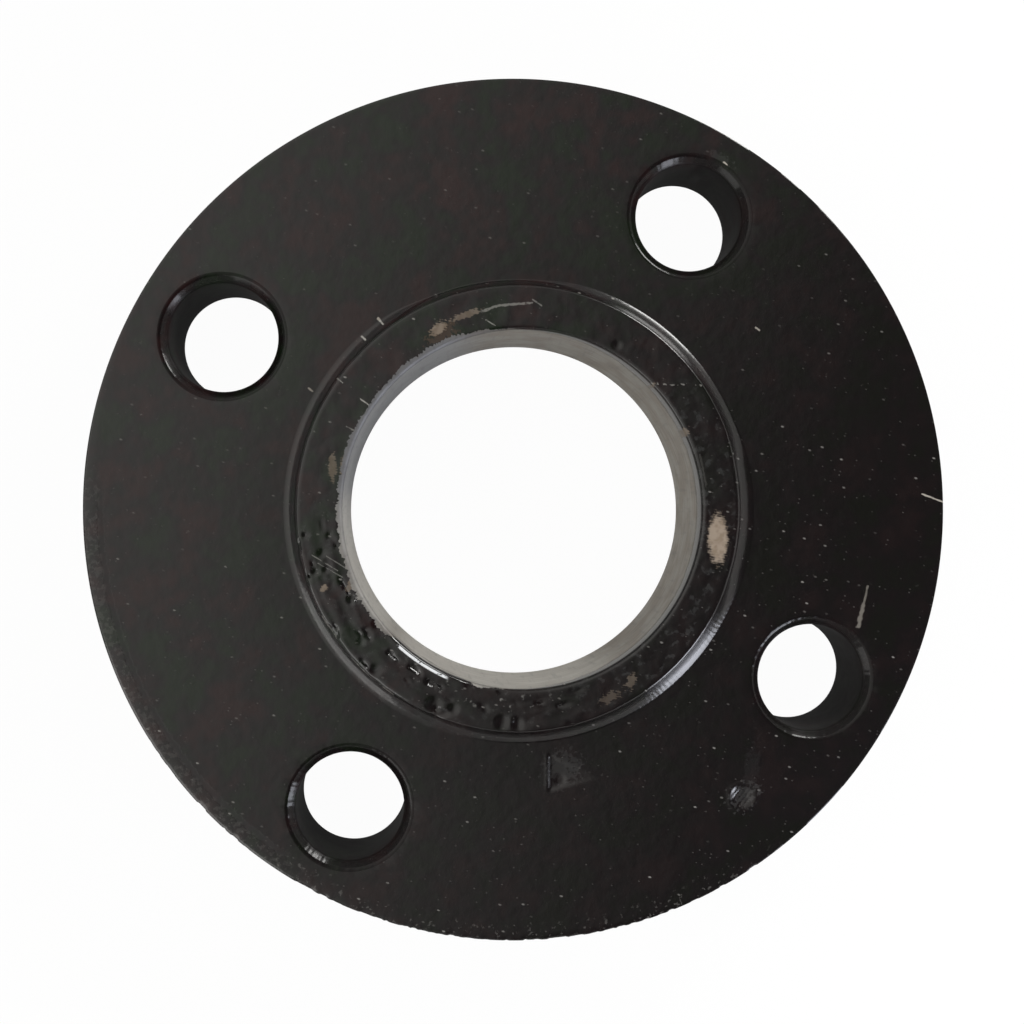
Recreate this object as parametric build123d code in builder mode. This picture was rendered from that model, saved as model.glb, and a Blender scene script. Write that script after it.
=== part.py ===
"""Slip on flange for 2 inch pipe, pressure class 150, raised face.

Lengths are millimetres. The origin is the centre of the gasket face, which is the
underside, and +Z runs along the bore towards the hub. The bolt holes straddle X and Y.
"""

import os
from math import radians, tan

from build123d import *

INCH = 25.4

# Plate, its thickness counted from the gasket face
flange_dia = 6.0 * INCH
plate_top = 0.75 * INCH
rim_bevel_width = 2.0
rim_bevel_drop = 0.6
rim_back_break = 0.8

# Raised gasket face
raised_dia = 3.625 * INCH
raised_height = 1.6
raised_edge_break = 0.3

# Hub, drafted so that the forging leaves its die
hub_root_dia = 78.0
hub_top = 1.0 * INCH
hub_draft = 4.0
hub_root_radius = 3.0
hub_crest_radius = 0.5

# Bore that slides over the pipe
bore_dia = 62.0
bore_hub_break = 0.8
bore_face_break = 0.5

# Bolting
bolt_circle_dia = 4.75 * INCH
bolt_hole_dia = 0.75 * INCH
bolt_count = 4
first_bolt_angle = 45.0
bolt_lip_break = 1.2
bolt_back_break = 0.5

# Half section, from the bore out to the rim
bore_r = bore_dia / 2
rim_r = flange_dia / 2
raised_r = raised_dia / 2
hub_root_r = hub_root_dia / 2
hub_crest_r = hub_root_r - (hub_top - plate_top) * tan(radians(hub_draft))

with BuildPart() as flange:
    # The forging, turned to size: gasket face, plate, bevelled rim and drafted hub
    with BuildSketch(Plane.XZ) as section:
        with BuildLine():
            Polyline(
                (bore_r, 0),
                (raised_r, 0),
                (raised_r, raised_height),
                (rim_r, raised_height),
                (rim_r, plate_top - rim_bevel_drop),
                (rim_r - rim_bevel_width, plate_top),
                (hub_root_r, plate_top),
                (hub_crest_r, hub_top),
                (bore_r, hub_top),
                close=True,
            )
        make_face()

        corners = section.vertices()
        hub_root = corners.sort_by_distance((hub_root_r, plate_top))[0]
        hub_crest = corners.sort_by_distance((hub_crest_r, hub_top))[0]
        bore_mouth = corners.sort_by_distance((bore_r, hub_top))[0]
        fillet(hub_root, hub_root_radius)
        fillet(hub_crest, hub_crest_radius)
        fillet(bore_mouth, bore_hub_break)

        rim_back = corners.sort_by_distance((rim_r, raised_height))[0]
        raised_edge = corners.sort_by_distance((raised_r, 0))[0]
        bore_face = corners.sort_by_distance((bore_r, 0))[0]
        chamfer(rim_back, rim_back_break)
        chamfer(raised_edge, raised_edge_break)
        chamfer(bore_face, bore_face_break)
    revolve(axis=Axis.Z)

    # Bolt holes, drilled from the hub side, with a wide chamfer there and a small one behind
    with PolarLocations(bolt_circle_dia / 2, bolt_count, start_angle=first_bolt_angle):
        Hole(bolt_hole_dia / 2)
    lips = flange.edges(Select.LAST).filter_by(GeomType.CIRCLE).group_by(Axis.Z)
    chamfer(lips[0], bolt_back_break)
    chamfer(lips[-1], bolt_lip_break)

flange.part.label = "flange"

os.makedirs("parts", exist_ok=True)
export_step(flange.part, "parts/flange.step")
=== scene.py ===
"""Looks of the painted slip on flange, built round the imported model, in metres."""

from math import cos, pi, radians, sin, tan

import bmesh
import bpy
import numpy as np
from mathutils import Matrix, Vector, noise
from mathutils.geometry import delaunay_2d_cdt


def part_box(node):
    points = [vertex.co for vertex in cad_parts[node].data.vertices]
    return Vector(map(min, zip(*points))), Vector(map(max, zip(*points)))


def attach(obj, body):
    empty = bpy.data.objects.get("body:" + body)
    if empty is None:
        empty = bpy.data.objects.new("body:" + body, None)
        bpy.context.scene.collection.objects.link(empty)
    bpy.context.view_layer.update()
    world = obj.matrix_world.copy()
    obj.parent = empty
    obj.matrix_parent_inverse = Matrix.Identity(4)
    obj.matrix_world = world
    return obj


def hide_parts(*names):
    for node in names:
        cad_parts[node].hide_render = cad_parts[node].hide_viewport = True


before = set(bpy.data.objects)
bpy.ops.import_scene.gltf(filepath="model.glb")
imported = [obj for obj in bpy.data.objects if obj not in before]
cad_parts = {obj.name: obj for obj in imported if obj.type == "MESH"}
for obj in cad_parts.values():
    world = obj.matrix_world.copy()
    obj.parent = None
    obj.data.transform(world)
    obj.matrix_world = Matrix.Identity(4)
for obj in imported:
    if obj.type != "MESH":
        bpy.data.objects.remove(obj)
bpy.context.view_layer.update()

MM = 0.001


# Camera, a quarter of a metre over the hub and looking almost straight down the bore.
# It is turned so that the bolt holes stand as they do in the photograph.

camera_place = Vector((-15.206, 3.162, 254.530)) * MM
camera_aim = Vector((-1.660, -0.016, 19.05)) * MM
picture_turn = 15.0
film_width = 36.0
focal_length = 46.94
nearest_seen = 0.01

lens = bpy.data.cameras.new("camera")
lens.sensor_width = film_width
lens.lens = focal_length
lens.clip_start = nearest_seen
camera = bpy.data.objects.new("camera", lens)
bpy.context.scene.collection.objects.link(camera)
bpy.context.scene.camera = camera
bpy.context.scene.view_settings.view_transform = "Standard"

backward = (camera_place - camera_aim).normalized()
picture_up = radians(90.0 - picture_turn)
rightward = Vector((cos(picture_up), sin(picture_up), 0.0)).cross(backward).normalized()
upward = backward.cross(rightward)
camera_axes = Matrix((rightward, upward, backward)).transposed()
camera.matrix_world = Matrix.Translation(camera_place) @ camera_axes.to_4x4()


def seen_at(bearing):
    """Angle round the bore, in the row frame, of a bearing counted from the picture's right."""
    return radians(bearing - picture_turn)


# Floor: a white studio sweep that the flange lies on, rising into a wall far behind it.
# The eye and polished metal see it white, and it keeps the flange's soft shadow.

sweep_steps = 96
bend_steps = 8
under_flange = -0.0002
flat_radii = (0.0004, 0.3)
sweep_radius = 1.6
sweep_bend = 0.5
sweep_rise = 1.2
floor_glow = 0.97
mirror_glow = 0.25
floor_colour = (0.80, 0.80, 0.79, 1.0)
black = (0.0, 0.0, 0.0, 1.0)
white = (1.0, 1.0, 1.0, 1.0)

sweep = bmesh.new()
sweep_rings = [(radius, under_flange) for radius in (*flat_radii, sweep_radius)]
for step in range(1, bend_steps + 1):
    bend = step / bend_steps * pi / 2
    sweep_rings.append(
        (sweep_radius + sweep_bend * sin(bend), sweep_bend * (1.0 - cos(bend)))
    )
sweep_rings.append((sweep_radius + sweep_bend, sweep_rise))
for radius, height in sweep_rings:
    for step in range(sweep_steps):
        angle = 2 * pi * step / sweep_steps
        sweep.verts.new((radius * cos(angle), radius * sin(angle), height))
sweep.verts.ensure_lookup_table()
sweep.faces.new(sweep.verts[0:sweep_steps])
for row in range(len(sweep_rings) - 1):
    inner = row * sweep_steps
    outer = inner + sweep_steps
    for step in range(sweep_steps):
        following = (step + 1) % sweep_steps
        sweep.faces.new(
            (
                sweep.verts[inner + step],
                sweep.verts[outer + step],
                sweep.verts[outer + following],
                sweep.verts[inner + following],
            )
        )
bmesh.ops.recalc_face_normals(sweep, faces=sweep.faces)
floor_mesh = bpy.data.meshes.new("floor")
sweep.to_mesh(floor_mesh)
sweep.free()
floor_mesh.shade_smooth()
floor = bpy.data.objects.new("floor", floor_mesh)
bpy.context.scene.collection.objects.link(floor)


def blank_material(name):
    """An empty node material and its shader output."""
    material = bpy.data.materials.new(name)
    material.use_nodes = True
    material.node_tree.nodes.clear()
    output = material.node_tree.nodes.new("ShaderNodeOutputMaterial")
    return material, output


def add_node(tree, kind, sockets=None, **settings):
    """A node with its settings, and with each named socket set or joined."""
    made = tree.nodes.new(kind)
    for name, value in settings.items():
        setattr(made, name, value)
    for name, value in (sockets or {}).items():
        if isinstance(value, bpy.types.NodeSocket):
            tree.links.new(value, made.inputs[name])
        else:
            made.inputs[name].default_value = value
    return made


paper, paper_output = blank_material("white sweep")
paper.cycles.emission_sampling = "NONE"
tree = paper.node_tree
ray = add_node(tree, "ShaderNodeLightPath")


def maths(operation, *values, clamp=False):
    """One step of arithmetic in the material in work."""
    sockets = dict(enumerate(values))
    made = add_node(tree, "ShaderNodeMath", sockets, operation=operation, use_clamp=clamp)
    return made.outputs[0]


def blend(amount, under, over):
    """The colour under where amount is 0, and the colour over where it is 1."""
    made = add_node(tree, "ShaderNodeMixRGB", {"Fac": amount, "Color1": under, "Color2": over})
    return made.outputs[0]


mirrored = maths("MAXIMUM", ray.outputs["Is Glossy Ray"], ray.outputs["Is Transmission Ray"])
seen = maths("MULTIPLY", ray.outputs["Is Camera Ray"], floor_glow)
glow = maths("MAXIMUM", maths("MULTIPLY", mirrored, mirror_glow), seen)
shade = blend(maths("SUBTRACT", 1.0, glow), black, floor_colour)
lit_paper = add_node(tree, "ShaderNodeBsdfDiffuse", {"Color": shade})
white_paper = add_node(tree, "ShaderNodeEmission", {"Color": white, "Strength": glow})
both = add_node(tree, "ShaderNodeAddShader", {0: lit_paper.outputs[0], 1: white_paper.outputs[0]})
tree.links.new(both.outputs[0], paper_output.inputs["Surface"])
floor_mesh.materials.append(paper)


# Lights: a soft room that is brighter on the left, a tall window standing low on the lower
# right, a smaller and stronger lamp on the upper right and a weak bounce from the lower left.

room_colour = (1.0, 0.985, 0.94, 1.0)
daylight = (0.87, 0.90, 1.0)
warm_white = (1.0, 0.99, 0.97)
lamp_aim = Vector((0.0, 0.0, 0.02))

world = bpy.data.worlds.new("room")
bpy.context.scene.world = world
world.use_nodes = True
tree = world.node_tree
tree.nodes.clear()
room_out = tree.nodes.new("ShaderNodeOutputWorld")
heading = add_node(tree, "ShaderNodeTexCoord").outputs["Generated"]


def vectors(operation, *values):
    """One step of vector arithmetic in the material in work."""
    made = add_node(tree, "ShaderNodeVectorMath", dict(enumerate(values)), operation=operation)
    return made.outputs["Value" if operation in ("LENGTH", "DOT_PRODUCT") else "Vector"]


def climb(value, start, stop, low, high):
    """A straight rise from low to high, while value runs from start to stop."""
    sockets = {"Value": value, "From Min": start, "From Max": stop, "To Min": low, "To Max": high}
    return add_node(tree, "ShaderNodeMapRange", sockets).outputs["Result"]


bright_side = Vector((cos(seen_at(165)), sin(seen_at(165)), 0.0))
lean = vectors("DOT_PRODUCT", heading, bright_side)
room_glow = maths("ADD", climb(lean, -0.27, 0.32, 0.035, 1.08), climb(lean, 0.50, 0.95, 0.0, 0.7))
room = add_node(tree, "ShaderNodeBackground", {"Color": room_colour, "Strength": room_glow})
tree.links.new(room.outputs[0], room_out.inputs["Surface"])


def soft_lamp(name, bearing, reach, height, width, tall, radiance, colour):
    """A square lamp at that bearing and distance from the bore, facing the plate."""
    light = bpy.data.lights.new(name, "AREA")
    light.shape = "RECTANGLE"
    light.size = width
    light.size_y = tall
    light.energy = radiance * pi * width * tall
    light.color = colour
    lamp = bpy.data.objects.new(name, light)
    bpy.context.scene.collection.objects.link(lamp)
    angle = seen_at(bearing)
    lamp.location = (reach * cos(angle), reach * sin(angle), height)
    away = lamp.location - lamp_aim
    lamp.rotation_euler = away.to_track_quat("Z", "Y").to_euler()
    lamp.visible_camera = False


# Name, bearing, reach from the bore, height, width, height of the lamp itself, and strength.
soft_lamp("window", -40, 0.237, 0.088, 0.080, 0.165, 10.0, daylight)
soft_lamp("lamp", 50, 0.315, 0.165, 0.105, 0.110, 22.0, warm_white)
soft_lamp("bounce", 220, 0.300, 0.150, 0.210, 0.160, 2.0, warm_white)


# Flange: one steel forging, faced and turned on its plate, drilled, dipped or brushed in
# black paint, and bored to size after that. It is made as one closed skin of turned rings,
# drilled faces and bolt hole linings that are welded edge to edge.

flange_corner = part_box("flange")[1]
rim_radius = flange_corner.x
hub_height = flange_corner.z
plate_height = 19.05 * MM
back_height = 1.6 * MM
bore_radius = 31.0 * MM

PLATE, HUB, LINING, STEEL = range(4)
points = []
faces = []
finish_of = []


def compass(steps):
    """That many angles, evenly spaced round a circle."""
    return np.linspace(0.0, 2 * pi, steps, endpoint=False)


def around(steps, size, seed):
    """Noise that runs smoothly round a circle, one value for each step."""
    return np.array(
        [noise.noise(Vector((cos(a) * size, sin(a) * size, seed))) for a in compass(steps)]
    )


def lobe(angle, bearing, half_width, softness):
    """1 within so many degrees of a bearing and 0 away from it, smooth between."""
    off = abs((np.degrees(angle) + picture_turn - bearing + 180.0) % 360.0 - 180.0)
    share = np.clip((half_width + softness - off) / softness, 0.0, 1.0)
    return share * share * (3.0 - 2.0 * share)


def ring(steps, radius, height, centre=(0.0, 0.0)):
    """Points on a circle, at one radius and height or at one for each point."""
    angle = compass(steps)
    return np.column_stack(
        (
            centre[0] + radius * np.cos(angle),
            centre[1] + radius * np.sin(angle),
            np.zeros(steps) + height,
        )
    )


def lay_skin(rings, finish):
    """Faces between rings. A ring with half the points of the one before it is joined too."""
    start = len(points)
    points.extend(map(tuple, rings[0]))
    for upper, lower in zip(rings, rings[1:]):
        steps = len(upper)
        below = start + steps
        points.extend(map(tuple, lower))
        for step in range(steps):
            a = start + step
            b = start + (step + 1) % steps
            if len(lower) == steps:
                faces.append((a, b, below + (step + 1) % steps, below + step))
            elif step % 2 == 0:
                faces.append((a, b, below + step // 2))
            else:
                following = below + (step // 2 + 1) % len(lower)
                faces.append((a, following, below + step // 2))
                faces.append((a, b, following))
        finish_of.extend([finish] * (len(faces) - len(finish_of)))
        start = below


def lay_drilled_face(inner, outer, holes, height, spacing, finish, fine_spots=()):
    """Flat face from the inner ring to the outer one, round the holes, in plain triangles."""
    loops = [inner, outer] + holes
    flat = np.vstack([loop[:, :2] for loop in loops]) / MM
    sides = []
    for loop in loops:
        first = len(sides)
        sides += [(first + k, first + (k + 1) % len(loop)) for k in range(len(loop))]
    reach = np.hypot(outer[:, 0], outer[:, 1]).max() / MM
    fill = []
    patches = [(0.0, 0.0, reach, spacing)] + list(fine_spots)
    for x, y, size, gap in patches:
        across = np.arange(-size, size, gap)
        grid_x, grid_y = np.meshgrid(across, across * 0.98)
        grid_x = grid_x + 0.5 * gap * (np.arange(len(across)) % 2)[:, None]
        inside = np.hypot(grid_x, grid_y) < size
        fill.append(np.column_stack((x + grid_x[inside], y + grid_y[inside])))
    fill = np.vstack(fill)
    keep = np.ones(len(fill), bool)
    for loop in loops:
        middle = loop[:, :2].mean(0) / MM
        edge_radius = np.hypot(*(loop[:, :2] / MM - middle).T)
        distance = np.hypot(*(fill - middle).T)
        if loop is outer:
            keep &= distance < edge_radius.min() - 0.5 * spacing
        else:
            keep &= distance > edge_radius.max() + 0.4 * spacing
    corners = [Vector(p) for p in np.vstack((flat, fill[keep]))]
    found, _, triangles, sources, _, _ = delaunay_2d_cdt(corners, sides, [], 0, 1e-5)
    loop_of = [k for k, loop in enumerate(loops) for _ in loop]
    start = len(points)
    points.extend((p.x * MM, p.y * MM, height) for p in found)
    for triangle in triangles:
        ids = [sources[k][0] for k in triangle]
        # Three corners on one loop: inside a hole or outside the rim there is nothing to lay.
        if max(ids) < len(loop_of) and len({loop_of[k] for k in ids}) == 1:
            runs_forward = sum(ids[k] < ids[k - 1] for k in range(3)) == 1
            if runs_forward != (loop_of[ids[0]] == 1):
                continue
        faces.append(tuple(start + k for k in triangle))
        finish_of.append(finish)


def arc(middle_radius, middle_height, curve, start, stop, steps):
    """(radius, height) points of a rounded edge, its angles in degrees."""
    swing = np.radians(np.linspace(start, stop, steps))
    return [
        (middle_radius + curve * cos(a), middle_height + curve * sin(a)) for a in swing
    ]


# The hub is forged with a draft, rounded at its crest and at the mouth of the bore. Its crest
# stands a little off the bore, because the bore was turned later, and it wears a coat of
# paint that the CAD height leaves room for.
hub_steps = 720
hub_top = hub_height - 0.12 * MM
hub_foot = 39.0 * MM
hub_draft = radians(4.0)
crest_offset = Vector((cos(seen_at(170)), sin(seen_at(170)))) * 0.62 * MM
crest_curve = 0.5 * MM
worn_crest_curve = 1.0 * MM
crest_land = 0.7 * MM
flank_start = 0.6 * MM
root_curve = 4.4 * MM
root_cut = radians(25.0)
root_toe = 0.10 * MM
mouth_curve = 0.8 * MM
crest_height = hub_top - crest_curve
crest_radius = hub_foot - (crest_height - plate_height) * tan(hub_draft)
crest_middle = crest_radius - crest_curve / cos(hub_draft)


def hub_side(foot, draft, curve):
    """(radius, height) points down the hub's flank and out along its root fillet."""
    middle_height = plate_height + curve * cos(root_cut)
    side = [
        (foot - (h - plate_height) * tan(draft), h)
        for h in np.linspace(crest_height - flank_start, middle_height, 3)
    ]
    middle = side[-1][0] + curve / cos(draft)
    stop = 270.0 - np.degrees(root_cut)
    side += arc(middle, middle_height, curve, 180.0 + np.degrees(draft), stop, 15)[1:]
    side.append((middle - curve * sin(root_cut) + root_toe, plate_height))
    return np.array(side)


def dragged_side(foot, draft, tight, wide):
    """The same points where the fillet is tight at the hub and runs out wide and shallow."""
    knee = radians(45.0)
    run_out = radians(12.0)
    knee_height = plate_height + wide * (cos(run_out) - cos(knee))
    tight_height = knee_height + tight * cos(knee)
    side = [
        (foot - (h - plate_height) * tan(draft), h)
        for h in np.linspace(crest_height - flank_start, tight_height, 3)
    ]
    middle = side[-1][0] + tight / cos(draft)
    side += arc(middle, tight_height, tight, 180.0 + np.degrees(draft), 225.0, 5)[1:]
    middle += (wide - tight) * sin(knee)
    side += arc(middle, plate_height + wide * cos(run_out), wide, 225.0, 258.0, 11)[1:]
    side.append((side[-1][0] + root_toe, plate_height))
    return np.array(side)


# On its upper side the hub leans more and runs into the plate with a small fillet. On the
# left and a little on the right its fillet is tight at the hub and runs out wide.
steep_foot = crest_radius + 1.80 * MM
steep_draft = radians(15.5)
steep_curve = 0.9 * MM
tight_curve = 1.2 * MM
wide_curve = 4.8 * MM
hub_angle = compass(hub_steps)
steep_share = lobe(hub_angle, 99, 13, 14)[:, None]
wide_share = (lobe(hub_angle, 190, 50, 30) + lobe(hub_angle, 357, 12, 14))[:, None]


def crest_edge(curve):
    """The rounded edge between the hub's top and its flank."""
    middle_height = hub_top - curve
    middle = hub_foot - (middle_height - plate_height) * tan(hub_draft) - curve / cos(hub_draft)
    return np.array(arc(middle, middle_height, curve, 90, np.degrees(hub_draft), 7))


mouth_reach = bore_radius + mouth_curve
mouth = arc(mouth_reach, hub_top - mouth_curve, mouth_curve, 180, 90, 9)
top_reach = np.linspace(mouth_reach, crest_middle - crest_land, 17)[1:]
hub_rings = []
for radius, height in mouth + [(r, hub_top) for r in top_reach]:
    share = (radius - mouth_reach) / (top_reach[-1] - mouth_reach)
    hub_rings.append(ring(hub_steps, radius, height, crest_offset * max(0.0, share)))
for usual, worn in zip(crest_edge(crest_curve), crest_edge(worn_crest_curve)):
    radius, height = (usual + (worn - usual) * wide_share).T
    hub_rings.append(ring(hub_steps, radius, height, crest_offset))
usual_side = hub_side(hub_foot, hub_draft, root_curve)
steep_side = hub_side(steep_foot, steep_draft, steep_curve)
wide_side = dragged_side(hub_foot, hub_draft, tight_curve, wide_curve)
for usual, steep, wide in zip(usual_side, steep_side, wide_side):
    radius, height = (usual + (steep - usual) * steep_share + (wide - usual) * wide_share).T
    share = (usual[1] - plate_height) / (crest_height - plate_height)
    hub_rings.append(ring(hub_steps, radius, height, crest_offset * share))
lay_skin(hub_rings, HUB)

# The rim is turned straight, with a small bevel towards the hub side. The bevel is worn wider
# on the lower left, and knocks have left nicks in it from there to below the hub.
rim_steps = 1000
rim_back_break = 0.8 * MM
nicked_bearing = 262.0
nicked_spread = 26.0
nick_count = 70
worn_depth = 1.8 * MM
rim_angle = compass(rim_steps)
worn_side = lobe(rim_angle, 222, 34, 44)
nicked_side = lobe(rim_angle, nicked_bearing, 34, 40)
rim_bevel = 0.30 * MM + 0.75 * MM * worn_side + 0.10 * MM * around(rim_steps, 9.0, 3.0)
bevel_drop = 0.12 * rim_bevel
edge_round = 0.03 * MM + 0.12 * MM * worn_side
nick_rolls = np.random.default_rng(11)
nicks = np.zeros(rim_steps)
for bearing in nick_rolls.normal(nicked_bearing, nicked_spread, nick_count):
    step = int((bearing - picture_turn) / 360.0 * rim_steps) % rim_steps
    nicks[step : step + nick_rolls.integers(1, 4)] = nick_rolls.uniform(0.2, 1.0)
nicks *= nicked_side * MM
rim_rings = [ring(rim_steps, rim_radius - 2.0 * rim_bevel, plate_height)]
for share in (0.0, 0.5, 1.0):
    radius = rim_radius - edge_round - (rim_bevel - edge_round) * (1 - share)
    height = plate_height - bevel_drop * share - 0.10 * nicks * share
    rim_rings.append(ring(rim_steps, radius - 0.16 * nicks * share, height))
height = plate_height - bevel_drop - edge_round - 0.10 * nicks
rim_rings.append(ring(rim_steps, rim_radius - 0.16 * nicks, height))
for height in np.linspace(plate_height - worn_depth, back_height + rim_back_break, 4):
    rim_rings.append(ring(rim_steps // 2, rim_radius, height))
rim_rings.append(ring(rim_steps // 2, rim_radius - rim_back_break, back_height))
lay_skin(rim_rings, PLATE)

# Four bolt holes, drilled on their circle half way between the axes. The drill chattered on
# their wide lips, and a run of paint hangs in the hole on the upper right.
hole_steps = 320
bolt_circle = 60.325 * MM
bolt_hole_radius = 9.525 * MM
bolt_lip = 1.35 * MM
lip_outer_curve = 1.1 * MM
lip_inner_curve = 0.7 * MM
hole_back_break = 0.5 * MM
hole_angles = radians(45) + compass(4)
hole_places = [(bolt_circle * cos(a), bolt_circle * sin(a)) for a in hole_angles]
lip_ripples = (0.05 * MM, 0.04 * MM, 0.13 * MM, 0.12 * MM)
paint_runs = (0.55 * MM, 0.0, 0.0, 0.0)
run_hangs = (1.0, 0.7, 0.3, 0.0, 0.0)
lip_tangent = tan(radians(22.5))
front_holes = []
back_holes = []
for place, ripple, paint_run in zip(hole_places, lip_ripples, paint_runs):
    lining = []
    sag = paint_run * lobe(compass(hole_steps // 2), 74, 2.5, 7.0)
    chatter = ripple * around(hole_steps, 17.0, place[0] / MM)
    lip = arc(
        bolt_hole_radius + bolt_lip + lip_outer_curve * lip_tangent,
        plate_height - lip_outer_curve,
        lip_outer_curve,
        90,
        135,
        5,
    )
    lip += arc(
        bolt_hole_radius + lip_inner_curve,
        plate_height - bolt_lip - lip_inner_curve * lip_tangent,
        lip_inner_curve,
        135,
        180,
        5,
    )
    for step, (radius, height) in enumerate(lip):
        worked = chatter * sin(pi * step / (len(lip) - 1))
        lining.append(ring(hole_steps, radius + 0.4 * worked, height + worked, place))
    lining_heights = np.linspace(plate_height - 3.0 * bolt_lip, back_height + hole_back_break, 5)
    for height, hang in zip(lining_heights, run_hangs):
        lining.append(ring(hole_steps // 2, bolt_hole_radius - sag * hang, height, place))
    behind = bolt_hole_radius + hole_back_break
    lining.append(ring(hole_steps // 2, behind, back_height, place))
    lay_skin(lining, LINING)
    front_holes.append(lining[0])
    back_holes.append(lining[-1])

# The plate's two faces run round the bolt holes, with a finer mesh where the upper one is
# dented. Spacings and the places of the dents are in millimetres.
raised_radius = 46.04 * MM
front_spacing = 1.5
back_spacing = 4.0
wedge_dent = (-7.2, -46.3)
bowl_dent = (24.9, -59.7)
dents = [(*wedge_dent, 9.5, 0.32), (*bowl_dent, 4.0, 0.28)]
hub_edge = hub_rings[-1]
rim_edge = rim_rings[0]
lay_drilled_face(hub_edge, rim_edge, front_holes, plate_height, front_spacing, PLATE, dents)
raised_edge = ring(hub_steps // 2, raised_radius, back_height)
lay_drilled_face(raised_edge, rim_rings[-1], back_holes, back_height, back_spacing, PLATE)

# The raised gasket face has fine turned grooves. The bore is one straight turned wall, and
# the paint of the hub runs some way down into it.
raised_break = 0.3 * MM
groove_pitch = 1.0 * MM
groove_depth = 0.05 * MM
bore_face_break = 0.5 * MM
painted_bore_foot = 20.5 * MM
lay_skin([raised_edge, ring(hub_steps // 2, raised_radius, raised_break)], PLATE)
face_rings = [ring(hub_steps // 2, raised_radius, raised_break)]
groove_radius = raised_radius - raised_break
face_rings.append(ring(hub_steps // 2, groove_radius, 0.0))
while groove_radius > bore_radius + 2 * groove_pitch:
    groove_radius -= groove_pitch / 2
    face_rings.append(ring(hub_steps // 2, groove_radius, groove_depth))
    groove_radius -= groove_pitch / 2
    face_rings.append(ring(hub_steps // 2, groove_radius, 0.0))
face_rings.append(ring(hub_steps // 2, bore_radius + bore_face_break, 0.0))
for height in (bore_face_break, 6.0 * MM, 12.0 * MM, 18.0 * MM):
    face_rings.append(ring(hub_steps // 2, bore_radius, height))
lay_skin(face_rings, STEEL)
bore_ring = ring(hub_steps, bore_radius, painted_bore_foot)
lay_skin([hub_rings[0], bore_ring, face_rings[-1]], HUB)

flange_mesh = bpy.data.meshes.new("painted_flange")
flange_mesh.from_pydata(points, [], faces)
flange_mesh.polygons.foreach_set("material_index", finish_of)
skin = bmesh.new()
skin.from_mesh(flange_mesh)
bmesh.ops.remove_doubles(skin, verts=skin.verts, dist=0.001 * MM)
bmesh.ops.recalc_face_normals(skin, faces=skin.faces)
skin.normal_update()


def ease(value, low, high):
    """0 at low, 1 at high, smooth between, for high above or below low."""
    share = min(1.0, max(0.0, (value - low) / (high - low)))
    return share * share * (3.0 - 2.0 * share)


def lump(spot, size, seed):
    """Noise about 0 with features of that many millimetres."""
    return noise.noise(spot / size + Vector((seed, -seed, 2.0 * seed)))


# Single pits in the paint of the hub's top: place, radius and depth in millimetres.
hub_pits = (
    ((-37.2, 5.4), 0.6, 0.30),
    ((-35.2, 1.7), 0.9, 0.30),
    ((-37.1, -1.1), 0.8, 0.35),
    ((-35.3, -1.3), 0.7, 0.25),
    ((-32.7, -14.7), 0.8, 0.20),
    ((-31.6, -20.0), 1.3, 0.25),
    ((-23.5, -28.4), 1.7, 0.35),
    ((-20.5, -30.0), 1.2, 0.30),
    ((-13.0, -34.4), 1.5, 0.35),
    ((-10.5, -35.2), 1.2, 0.30),
    ((23.0, 23.2), 1.0, 0.20),
)


mid_hub = 35.0
bead_reach = 31.6


def forged_hub(spot, angle, reach):
    """Thick uneven paint on the hub: calm on the right, dragged and pitted on the lower left."""
    coarse = lobe(angle, 236, 42, 18)
    along = angle % (2 * pi) * mid_hub
    drag = noise.noise(Vector((along / 5.0, reach / 1.5, 3.0)))
    crease = noise.noise(Vector((along / 2.2, reach / 0.9, 7.0)))
    hole = noise.noise(Vector((along / 3.6, reach / 1.0, 11.0)))
    broken = ease(noise.noise(Vector((along / 6.0, reach / 2.5, 19.0))), -0.10, 0.22)
    swell = 0.10 * drag + broken * (0.08 * crease - 0.34 * ease(hole, 0.20, 0.40))
    calm = 0.045 * lump(spot, 2.2, 5) + 0.018 * lump(spot, 0.9, 15)
    return coarse * swell + (1.0 - coarse) * calm


def hub_marks(spot, angle):
    """Single pits in the hub's paint, and the wet bead on the lip of the bore."""
    depth = 0.0
    if abs(spot.z - hub_top / MM) < 1.0:
        for (x, y), size, deep in hub_pits:
            depth -= deep * ease(np.hypot(spot.x - x, spot.y - y), size, 0.25 * size)
    reach = np.hypot(spot.x, spot.y)
    bead = 0.22 * ease(abs(reach - bead_reach), 0.8, 0.05) * lobe(angle, 238, 8, 9)
    return depth + bead


def wedge_mark(x, y):
    """A chisel mark: a steep wall on the left, and a floor that runs out to a point."""
    off_x = x - wedge_dent[0]
    off_y = y - wedge_dent[1]
    along = off_x * cos(seen_at(0)) + off_y * sin(seen_at(0))
    across = -off_x * sin(seen_at(0)) + off_y * cos(seen_at(0)) + 0.12 * along
    length, width = 8.0, 6.2
    taper = 1.0 - along / length
    if not -0.9 < along < length:
        return 0.0
    sides = ease(abs(across), 0.5 * width * taper + 0.35, 0.5 * width * taper - 0.35)
    wall = ease(along, -0.45, 0.35)
    brim = 0.07 * (ease(along, -0.9, -0.4) - ease(along, -0.4, 0.1)) * ease(abs(across), 3.6, 2.6)
    pit = 0.16 * ease(np.hypot(along - 1.9, across + 1.0), 1.3, 0.5)
    return brim - (0.24 * taper + 0.04) * wall * sides - pit * wall


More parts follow.
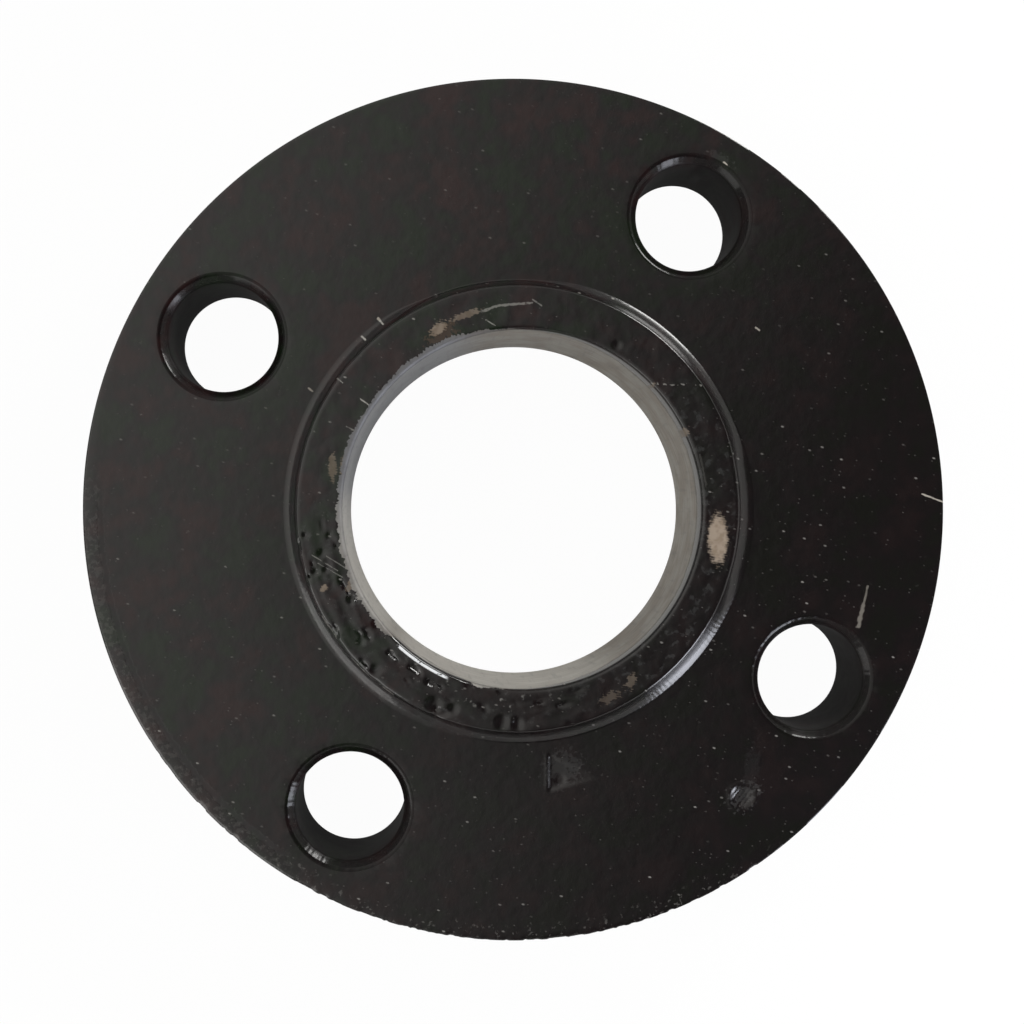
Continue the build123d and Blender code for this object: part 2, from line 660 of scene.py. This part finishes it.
def bowl_mark(x, y):
    """A round dent with a raised edge and ridges across its floor."""
    off = Vector((x - bowl_dent[0], y - bowl_dent[1], 0.0))
    reach = off.length * (1.0 + 0.25 * noise.noise(off * 0.5))
    ridges = 0.07 * sin(off.x * 5.0 - off.y * 7.0) * ease(reach, 2.1, 1.3)
    brim = 0.06 * ease(reach, 3.1, 2.5) * ease(reach, 1.9, 2.4)
    return ridges - 0.30 * ease(reach, 2.3, 0.9) + brim


# The thick paint begins just outside the lip of the bore and ends on the hub's flank. These
# limits are in millimetres too: two heights, and three distances out from the bore.
plate_from = 19.0
hub_from = 19.06
bore_wall_ends = 30.9
lip_ends = 31.1
hub_ends = 42.0
for corner in skin.verts:
    spot = corner.co / MM
    angle = np.arctan2(spot.y, spot.x)
    reach = np.hypot(spot.x, spot.y)
    off_hub = np.hypot(spot.x - crest_offset.x / MM, spot.y - crest_offset.y / MM)
    rise = 0.0
    if spot.z > hub_from and reach > bore_wall_ends and off_hub < hub_ends:
        if reach > lip_ends:
            thick = ease(reach, lip_ends, 32.2) * ease(off_hub, 39.2, 38.2)
            rise = forged_hub(spot, angle, reach) * thick
        rise += hub_marks(spot, angle)
    elif spot.z > plate_from:
        rise = 0.010 * lump(spot, 7.0, 2)
        rise += wedge_mark(spot.x, spot.y) + bowl_mark(spot.x, spot.y)
    corner.co += corner.normal * rise * MM
    corner.co.z = min(corner.co.z, hub_height)

skin.to_mesh(flange_mesh)
skin.free()
flange_mesh.shade_smooth()
flange_mesh.set_sharp_from_angle(angle=radians(40))

painted_flange = bpy.data.objects.new("painted_flange", flange_mesh)
bpy.context.scene.collection.objects.link(painted_flange)


def grain(size, detail=2.0, seed=0.0, stretch=(1.0, 1.0, 1.0), of=None):
    """Noise from 0 to 1 with features of that many millimetres."""
    scale = tuple(s / size for s in stretch)
    place = vectors("MULTIPLY_ADD", of or on_part, scale, (seed, 2 * seed, -seed))
    made = add_node(tree, "ShaderNodeTexNoise", {"Vector": place, "Scale": 1.0, "Detail": detail})
    return made.outputs["Fac"]


def fade(value, low, high):
    """0 where value is low, 1 where it is high, smooth between."""
    made = add_node(
        tree,
        "ShaderNodeMapRange",
        {"Value": value, "From Min": low, "From Max": high},
        interpolation_type="SMOOTHSTEP",
    )
    return made.outputs["Result"]


def either(*masks):
    """The strongest of the masks at each place."""
    total = masks[0]
    for mask in masks[1:]:
        total = maths("MAXIMUM", total, mask)
    return total


def both_of(*masks):
    """What all the masks leave when one is laid over the other."""
    total = masks[0]
    for mask in masks[1:]:
        total = maths("MULTIPLY", total, mask)
    return total


def away_from(value, middle):
    """How far a value is from its middle, to either side."""
    return maths("ABSOLUTE", maths("SUBTRACT", value, middle))


def turned_by(vector, angle):
    """A place on the part, turned about the bore."""
    sockets = {"Vector": vector, "Angle": angle}
    return add_node(tree, "ShaderNodeVectorRotate", sockets, rotation_type="Z_AXIS").outputs[0]


def measure_part():
    """Where on the part a surface is, in millimetres, for the material in work."""
    position = add_node(tree, "ShaderNodeTexCoord").outputs["Object"]
    on_part = vectors("MULTIPLY", position, (1 / MM, 1 / MM, 1 / MM))
    in_plan = vectors("MULTIPLY", on_part, (1.0, 1.0, 0.0))
    reach = vectors("LENGTH", in_plan)
    height = add_node(tree, "ShaderNodeSeparateXYZ", {0: on_part}).outputs["Z"]
    return on_part, in_plan, reach, vectors("NORMALIZE", in_plan), height


def pointing(bearing):
    """A step of length 1 on that bearing."""
    return cos(seen_at(bearing)), sin(seen_at(bearing)), 0.0


def toward(bearing):
    """1 on that bearing from the bore and -1 opposite to it."""
    return vectors("DOT_PRODUCT", outward, pointing(bearing))


def sector(bearing, half_width, softness):
    """1 within so many degrees of a bearing and 0 away from it."""
    return fade(toward(bearing), cos(radians(half_width + softness)), cos(radians(half_width)))


def chip(place, length, width, turn, roughness, cover, torn_by):
    """An oval chip with a torn edge, at that place on the part in millimetres."""
    across = turned_by(vectors("SUBTRACT", in_plan, (*place, 0.0)), -radians(turn))
    distance = vectors("LENGTH", vectors("MULTIPLY", across, (2 / length, 2 / width, 0.0)))
    distance = maths("MULTIPLY_ADD", torn_by, 2.5 * roughness, distance)
    return maths("MULTIPLY", fade(distance, 1.20, 0.75), cover)


def scratch(start, end, width, cover, torn_by):
    """A thin line on the top of the part between two places, in millimetres."""
    run = Vector((end[0] - start[0], end[1] - start[1], 0.0))
    offset = vectors("SUBTRACT", in_plan, (*start, 0.0))
    share = maths("DIVIDE", vectors("DOT_PRODUCT", offset, run), run.length_squared, clamp=True)
    sockets = {0: run, "Scale": share}
    nearest = add_node(tree, "ShaderNodeVectorMath", sockets, operation="SCALE").outputs[0]
    distance = vectors("LENGTH", vectors("SUBTRACT", offset, nearest))
    distance = maths("MULTIPLY_ADD", torn_by, width, distance)
    return maths("MULTIPLY", fade(distance, width * 0.65, width * 0.25), cover)


def specks(length, width, share, seed):
    """Fine pale dashes that all lie one way, in that share of the cells of a long mesh."""
    place = vectors("MULTIPLY_ADD", lie, (1 / length, 1 / width, 0.0), (seed, seed, 0.0))
    sockets = {"Vector": place, "Scale": 1.0}
    cells = add_node(tree, "ShaderNodeTexVoronoi", sockets, voronoi_dimensions="2D")
    chance = add_node(tree, "ShaderNodeSeparateXYZ", {0: cells.outputs["Color"]}).outputs
    core = fade(cells.outputs["Distance"], 0.20, 0.06)
    strength = maths("POWER", chance["Y"], 1.6)
    return both_of(core, maths("GREATER_THAN", chance["X"], 1.0 - share), strength)


def dusted(fine_share):
    """A few long specks of dust, and short faint ones in that share of their cells."""
    return either(
        maths("MULTIPLY", specks(2.0, 1.1, 0.05, 0.0), 0.80),
        maths("MULTIPLY", specks(1.1, 0.7, fine_share, 7.3), 0.24),
    )


# The paint is black, with a faint brown or olive tint in broad patches, painted stronger
# towards the lit upper left as painted light, and pale dust that was brushed or sprayed one way.
paint_colour = (0.0064, 0.0050, 0.0052, 1.0)
paint_brown = (0.0150, 0.0062, 0.0062, 1.0)
paint_olive = (0.0058, 0.0098, 0.0046, 1.0)
paint_dry = (0.012, 0.011, 0.010, 1.0)
speck_colour = (0.240, 0.230, 0.215, 1.0)
speck_lie = radians(33.0)
bump_strength = 0.35
bare_metal = 0.85


def black_paint():
    """Colour and roughness of the paint where nothing has marked it."""
    mottle = grain(9.0, 2.0, 1.0)
    tint = grain(2.6, 1.0, 6.0)
    drift = maths("MULTIPLY_ADD", tint, 0.5, mottle)
    # Painted light: the tint is painted stronger towards the upper left, where the room is brightest.
    painted_lit_side = maths("MULTIPLY_ADD", fade(toward(150), -0.6, 0.7), 0.75, 0.25)
    colour = blend(both_of(fade(drift, 0.72, 0.98), painted_lit_side), paint_colour, paint_brown)
    colour = blend(both_of(fade(drift, 0.78, 0.55), painted_lit_side), colour, paint_olive)
    shine = maths("MULTIPLY_ADD", drift, 0.10, 0.12)
    return colour, shine


def finish_paint(material_output, colour, shine, relief, metal=0.0, depth=0.03, gloss=0.5):
    """Join a finish to its shader. Relief is 0 to 1, and depth is its height in millimetres."""
    sockets = {"Height": relief, "Strength": bump_strength, "Distance": depth * MM}
    bump = add_node(tree, "ShaderNodeBump", sockets)
    shader = add_node(
        tree,
        "ShaderNodeBsdfPrincipled",
        {
            "Base Color": colour,
            "Metallic": metal,
            "Roughness": shine,
            "Normal": bump.outputs[0],
            "Specular IOR Level": gloss,
        },
    )
    tree.links.new(shader.outputs[0], material_output.inputs["Surface"])


# Black paint on the plate and the rim, sprayed or dipped over turned steel. It has dust in
# it, a few scratches, worn spots by the dents and a rim rubbed through on the lower left.
# Scratches: start, end, width and cover, in millimetres. Smears, and chips further down:
# place, length, width, turn in degrees, how torn the edge is, and cover.
plate_scratch_colour = (0.34, 0.31, 0.27, 1.0)
plate_smear_colour = (0.20, 0.20, 0.20, 1.0)
rim_wear_colour = (0.30, 0.29, 0.27, 1.0)
plate_scratches = (
    ((70.57, -16.01), (73.9, -18.4), 0.30, 0.9),
    ((56.7, -29.4), (54.9, -32.7), 0.40, 0.30),
    ((55.0, -32.5), (53.1, -36.0), 0.70, 0.36),
    ((-30.5, 30.15), (-30.0, 29.45), 0.30, 0.6),
    ((-15.6, 38.9), (-15.05, 37.7), 0.42, 0.9),
    ((-19.2, 36.55), (-18.75, 35.85), 0.42, 0.9),
    ((51.06, 50.33), (51.32, 49.9), 0.50, 1.6),
    ((49.0, 20.5), (49.5, 19.9), 0.30, 0.7),
)
plate_smears = (
    ((50.6, 51.0), 2.2, 4.2, 45, 1.0, 0.05),
    ((27.6, -56.0), 2.6, 9.0, -20, 1.2, 0.025),
    ((-4.6, -46.1), 6.0, 5.2, 0, 1.4, 0.07),
    ((25.4, -59.6), 4.2, 3.0, 30, 2.6, 0.10),
)

plate_paint, plate_output = blank_material("black paint on the plate")
tree = plate_paint.node_tree
on_part, in_plan, reach, outward, height = measure_part()
lie = turned_by(on_part, speck_lie)
base, shine = black_paint()
torn = maths("SUBTRACT", grain(0.7, 2.0, 12.0), 0.5)
on_top = fade(height, 18.5, 18.9)
dustier = maths("MULTIPLY_ADD", fade(toward(285), -0.7, 0.5), 0.65, 0.35)
dust = both_of(dusted(0.10), on_top, dustier)
scratched = both_of(either(*(scratch(*mark, torn) for mark in plate_scratches)), on_top)
smear = both_of(either(*(chip(*mark, torn) for mark in plate_smears)), on_top)
base = blend(dust, base, speck_colour)
base = blend(maths("MINIMUM", scratched, 0.95), base, plate_scratch_colour)
base = blend(smear, base, plate_smear_colour)
grit = grain(0.75, 2.0, 17.0)
near_rim = fade(reach, 73.0, 73.8)
dragged = both_of(sector(207, 26, 9), near_rim, fade(grit, 0.48, 0.60), on_top, 0.06)
drag_line = fade(away_from(maths("ADD", reach, torn), 73.1), 0.7, 0.3)
drag_line = both_of(sector(207, 24, 8), drag_line, on_top, 0.75)
rim_chips = both_of(sector(264, 30, 16), fade(maths("MULTIPLY_ADD", torn, 6.0, reach), 72.5, 75.0))
rim_chips = both_of(rim_chips, fade(grit, 0.61, 0.70), on_top, 0.18)
base = blend(either(dragged, rim_chips), base, rim_wear_colour)
shine = maths("MULTIPLY_ADD", either(dust, scratched, drag_line), 0.4, shine)
relief = maths("MULTIPLY_ADD", drag_line, -0.5, grain(2.2, 3.0, 2.5))
finish_paint(plate_output, base, shine, relief, depth=0.15)
flange_mesh.materials.append(plate_paint)

# Thicker paint on the hub, brushed down into the bore and scraped where the hub was handled.
# The steel of the bore shows below its ragged edge.
scale_colour = (0.27, 0.215, 0.165, 1.0)
scale_dark = (0.20, 0.150, 0.105, 1.0)
rust_colour = (0.050, 0.030, 0.018, 1.0)
film_colour = (0.052, 0.043, 0.033, 1.0)
hub_smear_colour = (0.20, 0.21, 0.21, 1.0)
hub_scratch_colour = (0.42, 0.41, 0.38, 1.0)
# Near white for a painted highlight on the wet bead at the lip of the bore.
painted_glint_colour = (0.85, 0.87, 0.90, 1.0)
hub_chips = (
    ((31.35, -13.7), 8.2, 3.4, 75, 0.35, 1.0),
    ((-6.1, 33.7), 3.4, 1.7, 30, 0.8, 0.62),
    ((-0.9, 34.8), 5.2, 1.1, 5, 0.8, 0.42),
    ((-29.7, 15.3), 4.6, 1.3, 75, 0.7, 0.38),
    ((-27.7, 14.9), 4.0, 1.5, 70, 0.7, 0.45),
    ((-36.4, -4.1), 1.4, 1.0, 20, 0.8, 0.60),
    ((-32.0, -4.9), 2.6, 1.2, 50, 0.8, 0.45),
    ((10.3, -33.6), 2.8, 1.5, 55, 1.1, 0.26),
    ((6.2, -35.2), 3.6, 1.7, 10, 1.1, 0.18),
    ((30.2, 5.4), 2.4, 1.3, 35, 0.8, 0.50),
    ((26.9, 14.8), 1.6, 0.9, 20, 0.8, 0.40),
)
hub_scratches = (
    ((1.9, 34.7), (5.1, 34.95), 0.50, 0.30),
    ((5.1, 34.95), (10.6, 33.95), 0.42, 0.30),
    ((10.9, 34.5), (12.1, 33.1), 0.26, 0.25),
    ((2.2, 33.1), (3.45, 31.8), 0.24, 0.40),
    ((-22.2, 25.55), (-20.3, 23.3), 0.25, 0.65),
    ((-25.6, 21.5), (-24.1, 20.2), 0.20, 0.25),
    ((-25.0, 29.8), (-24.3, 28.9), 0.24, 0.45),
    ((-15.5, 38.7), (-15.05, 37.7), 0.40, 0.85),
    ((-19.2, 36.55), (-18.75, 35.85), 0.40, 0.85),
    ((-38.0, -8.6), (-36.6, -13.0), 0.30, 0.30),
    ((-35.2, -17.0), (-32.8, -21.2), 0.34, 0.50),
    ((-32.8, -21.2), (-29.9, -24.9), 0.34, 0.42),
    ((-36.9, 1.8), (-33.4, -1.9), 0.20, 0.30),
    ((-36.3, 0.2), (-32.9, -3.2), 0.18, 0.26),
    ((-34.6, 1.0), (-31.8, -2.0), 0.18, 0.24),
    ((32.1, 1.2), (31.8, -4.5), 0.40, 0.06),
)

hub_paint, hub_output = blank_material("thick paint on the hub")
tree = hub_paint.node_tree
on_part, in_plan, reach, outward, height = measure_part()
lie = turned_by(on_part, speck_lie)
base, shine = black_paint()
torn = maths("SUBTRACT", grain(0.7, 3.0, 12.0), 0.5)

# Turned steel is grey with brown stains and fine turning marks. It is cooler on the upper
# left, and painted lighter in two places: painted reflections of the lights that stand in it.
steel_grey = (0.300, 0.282, 0.252, 1.0)
steel_stain = (0.245, 0.215, 0.180, 1.0)
steel_cool = (0.270, 0.280, 0.300, 1.0)
painted_reflection_colour = (0.54, 0.52, 0.48, 1.0)
steel_groove = (0.13, 0.12, 0.11, 1.0)
steel_streak = (0.10, 0.10, 0.105, 1.0)
steel_mouth = (0.100, 0.100, 0.110, 1.0)


def bored_steel():
    """Colour, roughness and relief of the turned wall of the bore."""
    stain = grain(5.0, 2.0, 2.0)
    turning = grain(0.5, 1.0, 8.0, stretch=(0.12, 0.12, 1.0))
    streaks = grain(0.8, 2.0, 3.0, stretch=(1.0, 1.0, 0.10))
    steel = blend(fade(stain, 0.35, 0.65), steel_grey, steel_stain)
    steel = blend(maths("MULTIPLY", sector(148, 30, 20), 0.8), steel, steel_cool)
    # Painted reflections: lighter steel on the left and at the bottom of the bore, where the lights
    # show.
    painted_reflections = maths("MULTIPLY", either(sector(199, 16, 12), sector(263, 26, 18)), 0.75)
    steel = blend(painted_reflections, steel, painted_reflection_colour)
    steel = blend(maths("MULTIPLY", fade(turning, 0.30, 0.75), 0.22), steel, steel_groove)
    steel = blend(maths("MULTIPLY", fade(streaks, 0.52, 0.78), 0.30), steel, steel_streak)
    return steel, maths("MULTIPLY_ADD", turning, 0.2, 0.38), turning


# The paint's edge: toothed where it stops on the lip, soft and brown where it runs inside.
steel, steel_shine, turning = bored_steel()
round_bore = vectors("MULTIPLY", outward, (bore_radius / MM, bore_radius / MM, 0.0))
teeth = maths("SUBTRACT", grain(0.42, 1.0, 4.0, of=round_bore), 0.5)
ragged = maths("SUBTRACT", grain(2.4, 2.0, 4.5, of=round_bore), 0.5)
up_the_bore = maths("ADD", height, maths("SUBTRACT", reach, bore_radius / MM))
on_left = fade(toward(178), -0.75, 0.5)
paint_edge = maths("MULTIPLY_ADD", on_left, 4.8, 21.5)
paint_edge = maths("MULTIPLY_ADD", ragged, 1.3, paint_edge)
paint_edge = maths("MULTIPLY_ADD", both_of(teeth, on_left), 1.1, paint_edge)
paint_edge = maths("MULTIPLY_ADD", torn, 0.5, paint_edge)
below_bead = maths("MULTIPLY", sector(239, 10, 8), 1.7)
paint_edge = maths("SUBTRACT", paint_edge, below_bead)
below_edge = maths("SUBTRACT", paint_edge, up_the_bore)
near_bore = maths("LESS_THAN", reach, 33.0)
on_mouth = fade(up_the_bore, 24.3, 24.9)
steel = blend(maths("MULTIPLY", on_mouth, 0.45), steel, steel_mouth)
steel_shine = maths("MULTIPLY_ADD", on_mouth, 0.15, steel_shine)
edge_softness = maths("MULTIPLY_ADD", on_left, -0.45, 0.55)
bare = both_of(fade(maths("DIVIDE", below_edge, edge_softness), -0.5, 0.5), near_bore)
film = fade(maths("MULTIPLY_ADD", torn, 1.4, below_edge), 1.8, -0.4)
film = both_of(film, bare, maths("MULTIPLY_ADD", on_left, -0.85, 1.0), 0.85)
steel = blend(film, steel, film_colour)
brush = grain(0.9, 2.0, 9.0, stretch=(0.22, 0.22, 1.6))
spill = both_of(sector(238, 9, 9), fade(brush, 0.54, 0.60), fade(below_edge, 4.5, 2.0), 0.85)
steel = blend(spill, steel, paint_dry)

on_hub = maths("SUBTRACT", 1.0, bare)
scraped = maths("MULTIPLY", vectors("DOT_PRODUCT", on_part, pointing(80)), 15.0)
torn_chip = maths("MULTIPLY_ADD", maths("SINE", scraped), 0.06, torn)
chipped = both_of(either(*(chip(*mark, torn_chip) for mark in hub_chips)), on_hub)
scratched = both_of(either(*(scratch(*mark, torn) for mark in hub_scratches)), on_hub)
rusty = both_of(chip((-5.6, 32.6), 5.2, 3.0, 20, 1.5, 0.6, torn), on_hub)
dust = dusted(0.12)
patches = grain(1.5, 3.0, 17.0)
right_smears = both_of(fade(patches, 0.54, 0.66), sector(340, 42, 25), fade(reach, 37.6, 36.2), 0.075)
crumpled = sector(228, 44, 14)
left_smears = both_of(fade(patches, 0.54, 0.70), crumpled, 0.045)
dot_row = scratch((35.4, 12.8), (27.1, 15.3), 0.5, 1.0, torn)
dots = both_of(dot_row, fade(grain(0.45, 0.0, 31.0), 0.58, 0.68), 0.3)
scratched = maths("MULTIPLY", scratched, fade(grain(0.8, 2.0, 27.0), 0.30, 0.50))
fleck_band = fade(away_from(reach, 33.4), 1.9, 0.9)
flecks = both_of(sector(256, 16, 10), fleck_band, fade(patches, 0.60, 0.68), 0.28)
scratched = either(scratched, dots, both_of(flecks, on_hub))
# Painted highlight: a thin near-white arc on the lip of the bore at the lower left, where the wet
# bead catches the lamp.
painted_glint_band = fade(away_from(reach, 31.72), 0.32, 0.14)
painted_bead_glint = both_of(sector(236.5, 8, 2), painted_glint_band, fade(torn, -0.14, -0.04))

base = blend(either(right_smears, left_smears), base, hub_smear_colour)
base = blend(rusty, base, rust_colour)
base = blend(dust, base, speck_colour)
base = blend(chipped, base, blend(fade(patches, 0.40, 0.62), scale_colour, scale_dark))
base = blend(scratched, base, hub_scratch_colour)
base = blend(bare, base, steel)
base = blend(painted_bead_glint, base, painted_glint_colour)

wet = both_of(crumpled, fade(patches, 0.52, 0.42))
shine = maths("MULTIPLY_ADD", wet, -0.09, shine)
shine = maths("MULTIPLY_ADD", either(chipped, scratched, dust, right_smears), 0.5, shine)
shine = maths("MULTIPLY_ADD", bare, maths("SUBTRACT", steel_shine, shine), shine)
side = add_node(tree, "ShaderNodeSeparateXYZ", {0: outward}).outputs
round_hub = maths("ARCTAN2", side["Y"], side["X"])
ribs = maths("SINE", maths("MULTIPLY_ADD", torn, 8.0, maths("MULTIPLY", round_hub, 285.0)))
ribs = both_of(ribs, sector(314, 24, 8), fade(reach, 38.8, 39.8), 0.30)
relief = maths("ADD", maths("MULTIPLY_ADD", bare, 0.3, grain(0.8, 1.0, 2.5)), ribs)
metal = maths("MULTIPLY", bare, bare_metal)
finish_paint(hub_output, base, shine, relief, metal=metal, depth=0.04)
flange_mesh.materials.append(hub_paint)

# Thin dull paint and mill scale on the drilled walls of the bolt holes, shiny only on their
# lips, where the brush or the dip left more of it.
lining_paint, lining_output = blank_material("dull paint in the bolt holes")
tree = lining_paint.node_tree
on_part, in_plan, reach, outward, height = measure_part()
base, shine = black_paint()
deep = fade(height, 18.3, 17.3)
cloud = grain(1.6, 2.0, 21.0)
base = blend(both_of(deep, fade(cloud, 0.45, 0.65), 0.6), base, paint_dry)
shine = maths("MULTIPLY_ADD", deep, 0.50, shine)
finish_paint(lining_output, base, shine, cloud, depth=0.08, gloss=0.22)
flange_mesh.materials.append(lining_paint)

# Bare turned steel in the bore and on the grooved gasket face, machined after painting and
# a little stained since.
bare_steel, steel_output = blank_material("bored steel")
tree = bare_steel.node_tree
on_part, in_plan, reach, outward, height = measure_part()
steel, steel_shine, turning = bored_steel()
finish_paint(steel_output, steel, steel_shine, turning, metal=bare_metal)
flange_mesh.materials.append(bare_steel)

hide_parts("flange")
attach(painted_flange, "root")
